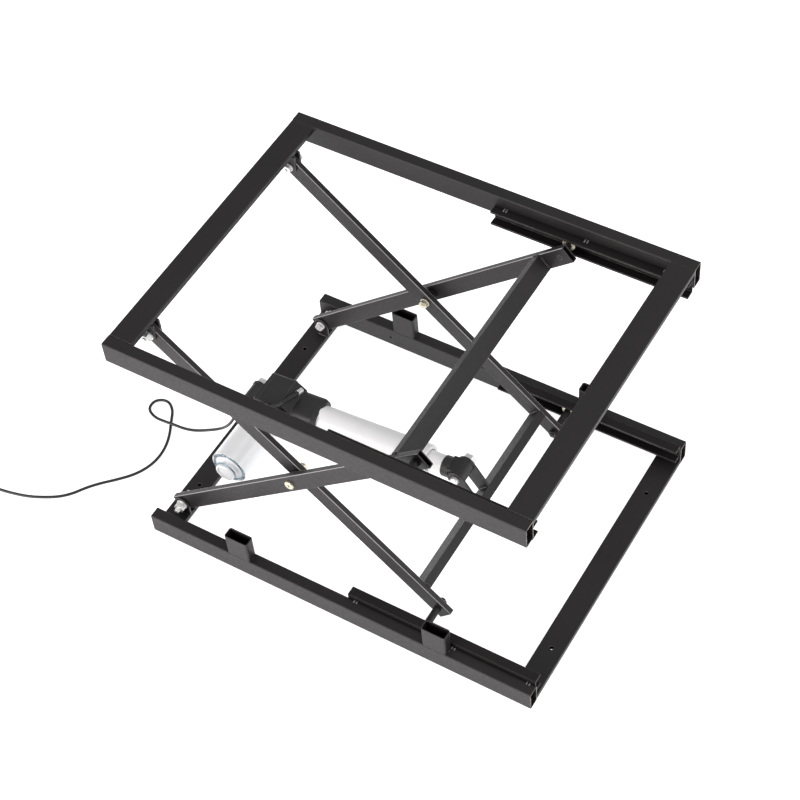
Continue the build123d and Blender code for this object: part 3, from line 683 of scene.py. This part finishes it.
def rod_bracket_runs():
    """Beads where the rod's bracket meets the inner cross tube."""
    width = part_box("rod_bracket")[1].y
    x0, z0 = arm_point(2, CROSS_NEAR, -0.0115)
    x1, z1 = arm_point(2, CROSS_NEAR, 0.0135)
    runs = []
    for sign in (-1, 1):
        for y in (width, width - BRACKET_T):
            runs.append(((x0, sign * y, z0), (x1, sign * y, z1)))
    return runs


frame_welds("base", "base", top=False)
frame_welds("top", "top_frame", top=True)
lug_welds("base_lug_welds", "base_lugs", "base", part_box("base_lugs")[0].z)
lug_welds("top_lug_welds", "top_lugs", "top_frame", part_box("top_lugs")[1].z)
stub_welds()
welds("cross_tube_welds_1", "pair_1", arm_welds(1))
welds("cross_tube_welds_2", "pair_2", arm_welds(2) + rod_bracket_runs(), 0.0022)
welds("rear_bracket_welds", "base", rear_bracket_runs(), 0.0022)


# ---------------------------------------------------------------- fastener and motor detail
THREAD_PITCH = 0.00125
THREAD_SHAPE = (0.00022, 0.00005, -0.00006, 0.00005)
PIVOT_BOLT_R = 0.00395
PIN_BOLT_R = 0.00495


def thread(bm, centre, direction, radius, length):
    """Fine ridges on a bolt's bare end; direction is +1 or -1 along Y."""
    rings = []
    per_pitch = len(THREAD_SHAPE)
    steps = int(length / THREAD_PITCH * per_pitch)
    for i in range(steps + 1):
        y = centre[1] + direction * length * i / steps
        taper = 0.0007 * max(0.0, (i - steps + 3) / 3)
        r = radius + THREAD_SHAPE[i % per_pitch] - taper
        ring = [Vector((centre[0] + r * math.cos(a), y, centre[2] + r * math.sin(a))) for a in circle(24)]
        rings.append(ring)
    tube_rings(bm, rings)


def bolt_threads(name, node, body, radius, length, sides=(-1, 1)):
    """Threaded ends on the outermost tips of a node's bolts, which lie on one line along Y."""
    low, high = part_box(node)
    x, z = (low.x + high.x) / 2, (low.z + high.z) / 2
    bm = bmesh.new()
    for sign in sides:
        tip = high.y if sign > 0 else low.y
        thread(bm, (x, tip - sign * length, z), sign, radius, length + 0.0003)
    finish_piece(name, bm, body, MATERIALS["zinc_plate"])


bolt_threads("base_pivot_threads", "base_pivot_bolts", "base", PIVOT_BOLT_R, 0.0088)
bolt_threads("top_pivot_threads", "top_pivot_bolts", "top_frame", PIVOT_BOLT_R, 0.0038)
bolt_threads("rod_bolt_thread", "rod_bolt", "pair_2", PIN_BOLT_R, 0.0020, sides=(1,))
bolt_threads("rear_bolt_thread", "rear_bolt", "base", PIN_BOLT_R, 0.0020, sides=(1,))


CRIMP_R = 0.0296
RING_HALF = 0.0015


def motor_detail():
    """Eight crimped tabs and two thin dark bluish rings around the motor's end cap: one at the can's rim, and one
    on the cap that is painted shade in its recess.
    """
    low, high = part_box("motor_end_cap")
    axis = (low + high) / 2
    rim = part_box("motor_can")[0].y
    bm = bmesh.new()
    size = Matrix.Diagonal((0.0021, 0.0016, 0.0021, 1))
    for middle in circle(8):
        for step in (-2, -1, 0, 1, 2):
            a = middle + 0.2 + step * 0.055
            centre = Vector((axis.x + CRIMP_R * math.cos(a), rim - 0.0003, axis.z + CRIMP_R * math.sin(a)))
            place = Matrix.Translation(centre) @ size
            bmesh.ops.create_icosphere(bm, subdivisions=2, radius=1.0, matrix=place)
    # The second ring, on the cap, is painted shade in the cap's recess.
    for ring_r, y in ((0.0272, rim - 0.0002), (0.0178, low.y + 0.0052)):
        inner, outer = ring_r - RING_HALF, ring_r + RING_HALF
        loops = []
        for r, dy in ((inner, 0.0006), (inner, -0.0007), (outer, -0.0007), (outer, 0.0006)):
            ring = [(axis.x + r * math.cos(a), y + dy, axis.z + r * math.sin(a)) for a in circle(64)]
            loops.append([bm.verts.new(place) for place in ring])
        for first, second in zip(loops, loops[1:] + loops[:1]):
            for i in range(64):
                n = (i + 1) % 64
                bm.faces.new((first[i], first[n], second[n], second[i]))
    finish_piece("motor_crimps", bm, "barrel", CRIMP)


motor_detail()
